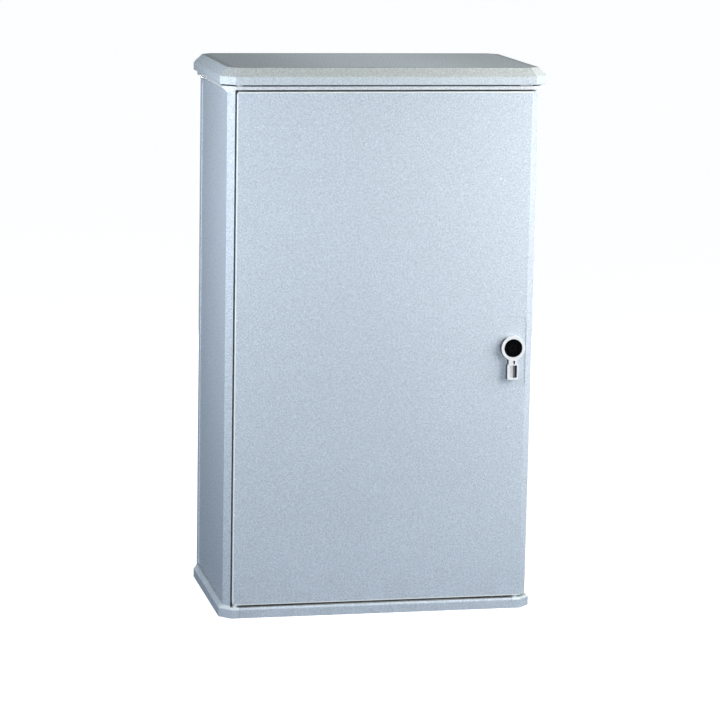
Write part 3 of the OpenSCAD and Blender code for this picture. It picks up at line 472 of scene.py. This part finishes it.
def pale_moulding(name, base, painted_shade_tone):
    """Smooth pale moulding with painted shade on the walls that face the hinge side, and on what
    lies deeper than its front.
    """
    f = Finish(name)
    grain = f.noise(*LOCK_GRAIN)
    tone = f.mix(f.ramp(grain, 0.35, 0.65), base, darker(base, 0.93))
    # Painted shade: what lies more than about 2 mm behind the ring's front, its walls and hollows,
    # is darker.
    depth = f.maths("SUBTRACT", f.split(f.place)[1], ring_low.y)
    tone = f.mix(f.ramp(depth, 0.0018, 0.0024), tone, darker(base, 0.72))
    # Painted shade: walls that face -X, the hinge side, take the shade tone, broken up by noise.
    shade = f.ramp(f.times(f.split(f.facing)[0], -1), 0.35, 0.75)
    shade_breakup = f.ramp(f.noise(*LOCK_SHADE_BREAKUP), 0.25, 0.6, 0.75, 1.0)
    f.colour(f.mix(f.times(shade, shade_breakup), tone, painted_shade_tone))
    f.rough(grain, 0.36, 0.50)
    f.bump((grain, 0.00006, 0.25))
    return f.material


def natural_moulding(name):
    f = Finish(name)
    cloud = f.ramp(f.noise(*NYLON_CLOUD), 0.4, 0.7)
    f.colour(f.mix(cloud, (0.30, 0.29, 0.27), (0.20, 0.19, 0.17)))
    f.rough(f.noise(*NYLON_SHEEN), 0.30, 0.42)
    f.bump((f.noise(*NYLON_GRAIN), 0.00006, 0.2))
    return f.material


def soft_rubber(name):
    f = Finish(name)
    bloom = f.noise(*RUBBER_BLOOM)
    bloomed = f.ramp(bloom, 0.45, 0.75, 0.0, 0.7)
    f.colour(f.mix(bloomed, (0.016, 0.016, 0.017), (0.050, 0.050, 0.050)))
    f.rough(bloom, 0.66, 0.84)
    f.bump((f.noise(*RUBBER_GRAIN), 0.0001, 0.35))
    return f.material


def plated_steel(name, tone, spangle, low, high, brushed=None):
    """Metal with a spangle or brushed grain and faint stains; low and high are its roughness."""
    f = Finish(name)
    f.set(metallic=1.0)
    grain = f.noise(spangle, 4, 0.65, f.stretched(brushed) if brushed else None)
    stain = f.noise(*STEEL_STAIN)
    clean = f.mix(f.ramp(grain, 0.35, 0.65), tone, darker(tone, 0.82))
    f.colour(f.mix(f.ramp(stain, 0.45, 0.75, 0.0, 0.55), clean, darker(tone, 0.62)))
    f.rough(grain, low, high)
    f.bump((grain, 0.00005, 0.25))
    return f.material


shell_finish = moulded_shell("grey glass-fibre moulding", SHELL, DUST_AND_SHADE)
# The door's pale rim is edge wear and a painted highlight along its edges.
door_finish = moulded_shell("grey glass-fibre door", SHELL, DUST_AND_SHADE, CHIPS,
                            (door_low.x, door_low.z, door_high.z))
# The front corner blocks' pale upper edge is a painted highlight.
corner_finish = moulded_shell("grey glass-fibre corner, painted edge highlight", SHELL, DUST_AND_SHADE,
                              highlight_above=CORNER_TOP)
# The roof's pale upward tone is painted light on its top.
roof_finish = moulded_shell("grey glass-fibre roof, dust and painted light", (0.565, 0.640, 0.705),
                            (0.78, 0.86, 0.90), deck=ROOF_DECK)
# The collar is the shell's glass fibre painted paler: a painted highlight on the strongly lit band
# under the roof.
collar_painted_lit_finish = moulded_shell("glass-fibre collar, painted highlight", (0.72, 0.78, 0.84), (0.26, 0.28, 0.30))
# The last colour is painted shade for the lock moulding's walls that face the hinge side.
ring_finish = pale_moulding("pale lock moulding", (0.80, 0.83, 0.86), (0.035, 0.037, 0.042))
inner_finish = moulded_shell("grey glass-fibre, inside", darker(SHELL, 0.95), darker(SHELL, 0.9))
knob_finish = black_moulding("black knob")
barrel_finish = black_moulding("black key barrel", (0.004, 0.004, 0.0045))
guide_finish = black_moulding("black guides", (0.014, 0.014, 0.015))
bush_finish = natural_moulding("greyed nylon bearing")
rubber_finish = soft_rubber("black rubber")
zinc_finish = plated_steel("zinc-plated steel", (0.66, 0.67, 0.66), 420, 0.30, 0.46)
sheet_finish = plated_steel("galvanised sheet", (0.62, 0.64, 0.66), 55, 0.32, 0.50)
rod_finish = plated_steel("drawn rod steel", (0.60, 0.61, 0.62), 300, 0.26, 0.42, (6, 6, 0.15))
pin_finish = plated_steel("stainless pins", (0.15, 0.15, 0.155), 500, 0.32, 0.46)


# ---- Shell ----

def beyond(middle, rim):
    return abs(middle.x) > rim[0] or abs(middle.y) > rim[1]


def roof_edge(m, e):
    return m.z > roof_low.z - SAME_LEVEL and (
        beyond(m, (roof_high.x - ROOF_SLOPE, roof_high.y - ROOF_SLOPE))
        or abs(m.x) + abs(m.y) > roof_high.x + roof_high.y - ROOF_CORNER)


def corner_edge(m, e):
    return beyond(m, CORNER_RIM) and m.z > CORNER_GROUND_FACE and e.calc_length() > SHORTEST_EDGE


def side_edge(m, e):
    return abs(m.x) > SIDE_WALL_OUT


# Node, the new piece's name, its finish, and its rounding: radius, segments, which edges
SHELL_PIECES = [
    ("roof", "roof_shell", roof_finish, 0.0011, 3, roof_edge),
    ("top_frame", "top_rail", collar_painted_lit_finish, 0.0006, 2, lambda m, e: beyond(m, COLLAR_RIM)),
    ("base_frame", "base_rail", shell_finish, 0.0008, 3,
     lambda m, e: beyond(m, BASE_RIM) and m.z > GROUND_FACE),
    ("corner_block_front_left", "base_corner_front_left", corner_finish, 0.0006, 2, corner_edge),
    ("corner_block_front_right", "base_corner_front_right", corner_finish, 0.0006, 2, corner_edge),
    ("corner_block_rear_left", "base_corner_rear_left", shell_finish, 0.0006, 2, corner_edge),
    ("corner_block_rear_right", "base_corner_rear_right", shell_finish, 0.0006, 2, corner_edge),
    ("left_side_panel", "left_wall", shell_finish, 0.0006, 2, side_edge),
    ("right_side_panel", "right_wall", shell_finish, 0.0006, 2, side_edge),
    ("rear_panel", "rear_wall", shell_finish, 0.0006, 2, lambda m, e: m.y > REAR_WALL_OUT),
]
for node, name, finish, radius, segments, wanted in SHELL_PIECES:
    piece = merged_copy(node, name)
    round_edges(piece, radius, segments, wanted)
    finish_piece(piece, "cabinet", finish, "shell", node)


# ---- Door ----

def leaf_edge(m, e):
    """The outlines of the door's front face and bevels."""
    return m.y < FRONT + SAME_LEVEL and (
        abs(m.x - door_low.x) < DOOR_BEVEL or m.x > door_high.x - DOOR_LOCK_BEVEL
        or m.z > door_high.z - DOOR_BEVEL or m.z < door_low.z + DOOR_BEVEL)


def lock_pad_edge(m, e):
    return (m.y < FRONT + SAME_LEVEL and e.calc_length() > SHORTEST_PAD_EDGE
            and abs(m.x - LOCK_X) < LOCK_PAD_HALF_W and abs(m.z - LOCK_Z) < LOCK_PAD_HALF_H)


def door_face(face):
    return face.normal.y < FACES_FRONT and face.calc_area() > DOOR_FACE_AREA


def lock_strip_face(face):
    return (face.normal.y < FACES_FRONT and face.calc_area() > STRIP_FACE_AREA
            and face.calc_center_bounds().x > LOCK_X - LOCK_STRIP)


leaf = merged_copy("door", "door_leaf")
round_edges(leaf, 0.0010, 3, leaf_edge, 20)
round_edges(leaf, 0.0005, 2, lock_pad_edge, 40)
cut_faces(leaf, door_face, (LOCK_X - LOCK_STRIP, 0, 0), (1, 0, 0))
for height in (LOCK_Z - LOCK_STRIP_BELOW, LOCK_Z + LOCK_STRIP_ABOVE):
    cut_faces(leaf, lock_strip_face, (0, 0, height), (0, 0, 1))
finish_piece(leaf, "door", door_finish, "shell", "door")


def front_rounded(node, name, front, radius, segments):
    """A piece of the lock with its foremost edges rounded."""
    piece = merged_copy(node, name)
    round_edges(piece, radius, segments, lambda m, e: m.y < front + SAME_LEVEL, 40)
    return piece


ring = front_rounded("lock_ring", "lock_surround", ring_low.y, 0.0010, 3)
finish_piece(ring, "door", ring_finish, "shell", "lock_ring")

knob = front_rounded("lock_knob", "round_knob", knob_low.y, 0.0012, 3)
finish_piece(knob, "lock_knob", knob_finish, "black_plastic", "lock_knob")

barrel = front_rounded("key_barrel", "keyhole_barrel", barrel_low.y, 0.0004, 2)
finish_piece(barrel, "key_barrel", barrel_finish, "black_plastic", "key_barrel")


# ---- Screws ----

def separate_solids(node):
    """The corner points of each separate solid of a node, in the order of its first corner."""
    shape = bmesh.new()
    shape.from_mesh(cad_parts[node].data)
    bmesh.ops.remove_doubles(shape, verts=shape.verts, dist=SAME_POINT)
    taken = set()
    solids = []
    for first in shape.verts:
        if first in taken:
            continue
        taken.add(first)
        reached = [first]
        for v in reached:
            for e in v.link_edges:
                other = e.other_vert(v)
                if other not in taken:
                    taken.add(other)
                    reached.append(other)
        solids.append([v.co.copy() for v in reached])
    shape.free()
    return solids


LEVEL_DECIMALS = 5             # levels are told apart to a hundredth of a millimetre
LEVEL_APART = 0.00002
SHANK_PARTS = (0.94, 0.06)     # the straight shank and its narrowing tip, as shares of its length
TIP_SHARE = 0.7                # the tip's width
RECESS_LONG = 1.15             # a recess bar's length and width, as shares of the head's radius
RECESS_WIDE = 0.22
FIRST_TURN = 17                # degrees by which the first screw is turned, and each next one more
NEXT_TURN = 41


def screw_place(points):
    """Head's top middle, head's direction, and the sizes of one screw.

    A screw has few levels along its own axis and many across it, which tells its axis.
    """
    levels = [sorted({round(p[a], LEVEL_DECIMALS) for p in points}) for a in range(3)]
    a = min(range(3), key=lambda n: len(levels[n]))
    low, high = levels[a][0], levels[a][-1]
    middle = sum(points, Vector()) / len(points)

    def radius(level):
        return max((Vector([0 if n == a else p[n] - middle[n] for n in range(3)])).length
                   for p in points if abs(p[a] - level) < LEVEL_APART)

    top, tip = (high, low) if radius(high) > radius(low) else (low, high)
    under = min((n for n in levels[a] if n not in (top, tip)), key=lambda n: abs(n - top))
    direction = Vector([(1 if top > tip else -1) if n == a else 0 for n in range(3)])
    middle[a] = top
    return middle, direction, radius(top), radius(tip), abs(top - under), abs(under - tip)


def cut_recess(screw, head_r, head_h):
    """A cross recess, cut by two crossed bars."""
    for wide, deep in ((RECESS_LONG, RECESS_WIDE), (RECESS_WIDE, RECESS_LONG)):
        bpy.ops.mesh.primitive_cube_add(size=1, location=(0, 0, 0))
        cutter = bpy.context.object
        bpy.ops.transform.resize(value=(head_r * wide, head_r * deep, head_h * 1.1))
        bpy.ops.object.transform_apply(location=True, scale=True)
        only(screw)
        cut = screw.modifiers.new("recess", "BOOLEAN")
        cut.operation = "DIFFERENCE"
        cut.solver = "EXACT"
        cut.object = cutter
        bpy.ops.object.modifier_apply(modifier=cut.name)
        bpy.data.objects.remove(cutter)


def screw_model(head_r, shank_r, head_h, length):
    """A round-headed screw with a cross recess, its head's top at the origin."""
    bpy.ops.mesh.primitive_cylinder_add(vertices=28, radius=head_r, depth=head_h,
                                        location=(0, 0, -head_h / 2))
    screw = bpy.context.object
    bpy.ops.object.transform_apply(location=True)
    pick_edges(screw, edit(screw, "EDGE"), lambda e: all(v.co.z > -SAME_LEVEL for v in e.verts))
    bpy.ops.mesh.bevel(offset=min(head_h * 0.6, head_r * 0.4), segments=4, profile=0.5,
                       affect="EDGES")
    object_mode()
    pick_faces(screw, edit(screw, "FACE"), lambda face: face.normal.z < -0.9)
    bpy.ops.mesh.inset(thickness=head_r - shank_r)
    for share in SHANK_PARTS:
        bpy.ops.mesh.extrude_region_move(TRANSFORM_OT_translate={"value": (0, 0, -length * share)})
    bpy.ops.transform.resize(value=(TIP_SHARE, TIP_SHARE, 1),
                             center_override=(0, 0, -head_h - length))
    object_mode()
    cut_recess(screw, head_r, head_h)
    return screw


def screw_set(node, name, body, material, slot):
    """Modelled screws in place of a node of plain ones; the first screw's sizes serve them all."""
    places = [screw_place(points) for points in separate_solids(node)]
    model = screw_model(*places[0][2:])
    copies = []
    for number, (middle, direction, *_) in enumerate(places):
        copy = bpy.data.objects.new(f"{name}_{number}", model.data.copy())
        bpy.context.scene.collection.objects.link(copy)
        quarter = Matrix.Rotation(math.radians(FIRST_TURN + NEXT_TURN * number), 4, "Z")
        turn = Vector((0, 0, 1)).rotation_difference(direction).to_matrix().to_4x4()
        copy.data.transform(Matrix.Translation(middle) @ turn @ quarter)
        copies.append(copy)
    bpy.data.objects.remove(model)
    only(copies[0])
    for copy in copies:
        copy.select_set(True)
    bpy.ops.object.join()
    piece = bpy.context.object
    piece.name = name
    return finish_piece(piece, body, material, slot, node, smooth=40)


SCREWS = {
    "cabinet": ["corner_block", "floor_plate", "wall", "rear_corner", "door_frame", "roof",
                "mounting_plate", "keeper"],
    "door": ["lock", "rod_guide"],
}
for body, sets in SCREWS.items():
    for held in sets:
        screw_set(held + "_screws", held + "_pan_screws", body, zinc_finish, "zinc_steel")

# ---- The nodes that stay ----

KEPT = {
    inner_finish: ["door_frame", "floor_plate"],
    rubber_finish: ["cable_grommets", "door_seal"],
    guide_finish: ["upper_rod_guides", "lower_rod_guides", "upper_rod_tip", "lower_rod_tip"],
    bush_finish: ["lower_pivot_bush", "upper_pivot_bush"],
    sheet_finish: ["mounting_plate", "lock_case", "lock_cover"],
    rod_finish: ["upper_rod", "lower_rod"],
    pin_finish: ["lower_pivot_pin", "upper_pivot_pin"],
    zinc_finish: ["lower_rod_keeper", "upper_rod_keeper", "lock_spindle", "lock_pinion"],
}
for finish, names in KEPT.items():
    for name in names:
        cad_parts[name].data.materials.clear()
        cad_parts[name].data.materials.append(finish)


# ---- Studio ----

def seen_or_lighting(tree, lighting, seen, output):
    """What the lens sees of a surface, and what that surface throws back onto the cabinet."""
    path = tree.nodes.new("ShaderNodeLightPath")
    either = tree.nodes.new("ShaderNodeMixShader")
    tree.links.new(path.outputs["Is Camera Ray"], either.inputs[0])
    tree.links.new(lighting.outputs[0], either.inputs[1])
    tree.links.new(seen.outputs[0], either.inputs[2])
    tree.links.new(either.outputs[0], tree.nodes[output].inputs["Surface"])


bpy.ops.mesh.primitive_plane_add(size=90, location=(0, 30, 0))
floor = bpy.context.object
floor.name = "studio_floor"
pale = bpy.data.materials.new("pale floor")
pale.use_nodes = True
tree = pale.node_tree
matt = tree.nodes["Principled BSDF"]
matt.inputs["Base Color"].default_value = (0.42, 0.42, 0.42, 1)
matt.inputs["Roughness"].default_value = 0.9
matt.inputs["Specular IOR Level"].default_value = 0.1
glow = tree.nodes.new("ShaderNodeEmission")
glow.inputs["Strength"].default_value = 0.88
lit = tree.nodes.new("ShaderNodeAddShader")
tree.links.new(matt.outputs[0], lit.inputs[0])
tree.links.new(glow.outputs[0], lit.inputs[1])
dim = tree.nodes.new("ShaderNodeBsdfDiffuse")
dim.inputs["Color"].default_value = (0.12, 0.165, 0.235, 1)
seen_or_lighting(tree, dim, lit, "Material Output")
floor.data.materials.append(pale)

world = bpy.data.worlds.new("studio")
bpy.context.scene.world = world
world.use_nodes = True
tree = world.node_tree
sky = tree.nodes["Background"]
sky.inputs["Color"].default_value = (0.87, 0.94, 1.0, 1)
sky.inputs["Strength"].default_value = 0.26
backdrop = tree.nodes.new("ShaderNodeBackground")
backdrop.inputs["Color"].default_value = (0.93, 0.935, 0.94, 1)
seen_or_lighting(tree, sky, backdrop, "World Output")

# Name, place, what it is aimed at, width and height, watts, tint
LIGHTS = [
    ("front", (-1.294, -4.974, 1.60), (0, -0.10, 0.75), (0.9, 0.9), 78, (1.0, 0.99, 0.975)),
    ("right", (0.866, -0.644, 0.80), (0, -0.10, 0.45), (0.8, 0.8), 10.6, (1.0, 0.97, 0.93)),
    ("left", (-0.869, -0.377, 0.82), (0, -0.10, 0.45), (0.4, 0.5), 4.9, (0.94, 0.97, 1.0)),
    ("top", (1.00, -0.04, 1.85), (0.15, 0, 0.9), (0.7, 0.5), 7.6, (1.0, 0.99, 0.96)),
    ("rear", (0.0, 2.6, 0.62), (0, 0.1, 0.5), (0.4, 0.5), 21, (1.0, 1.0, 1.0)),
]
for name, place, aim, (width, height), power, tint in LIGHTS:
    data = bpy.data.lights.new(name, "AREA")
    data.shape = "RECTANGLE"
    data.size, data.size_y = width, height
    data.energy = power
    data.color = tint
    lamp = bpy.data.objects.new(name, data)
    bpy.context.scene.collection.objects.link(lamp)
    lamp.location = place
    lamp.rotation_mode = "QUATERNION"
    lamp.rotation_quaternion = (Vector(aim) - Vector(place)).to_track_quat("-Z", "Y")
    lamp.visible_camera = False

# ---- Camera ----

FOCAL = 150.0
CAMERA = (-1.049, -4.837, 1.300)
YAW, PITCH, ROLL = (math.radians(a) for a in (12.19, 10.33, 1.03))
forward = Vector((math.sin(YAW) * math.cos(PITCH), math.cos(YAW) * math.cos(PITCH),
                  -math.sin(PITCH)))
level = Vector((math.cos(YAW), -math.sin(YAW), 0))
upright = level.cross(forward)
right = level * math.cos(ROLL) + upright * math.sin(ROLL)
up = upright * math.cos(ROLL) - level * math.sin(ROLL)
lens = bpy.data.cameras.new("camera")
lens.sensor_width = 36
lens.lens = FOCAL
lens.clip_end = 200
camera = bpy.data.objects.new("camera", lens)
bpy.context.scene.collection.objects.link(camera)
turned = Matrix((right, up, -forward)).transposed().to_4x4()
camera.matrix_world = Matrix.Translation(CAMERA) @ turned
bpy.context.scene.camera = camera
bpy.context.scene.view_settings.view_transform = "Standard"
bpy.context.scene.view_settings.look = "None"
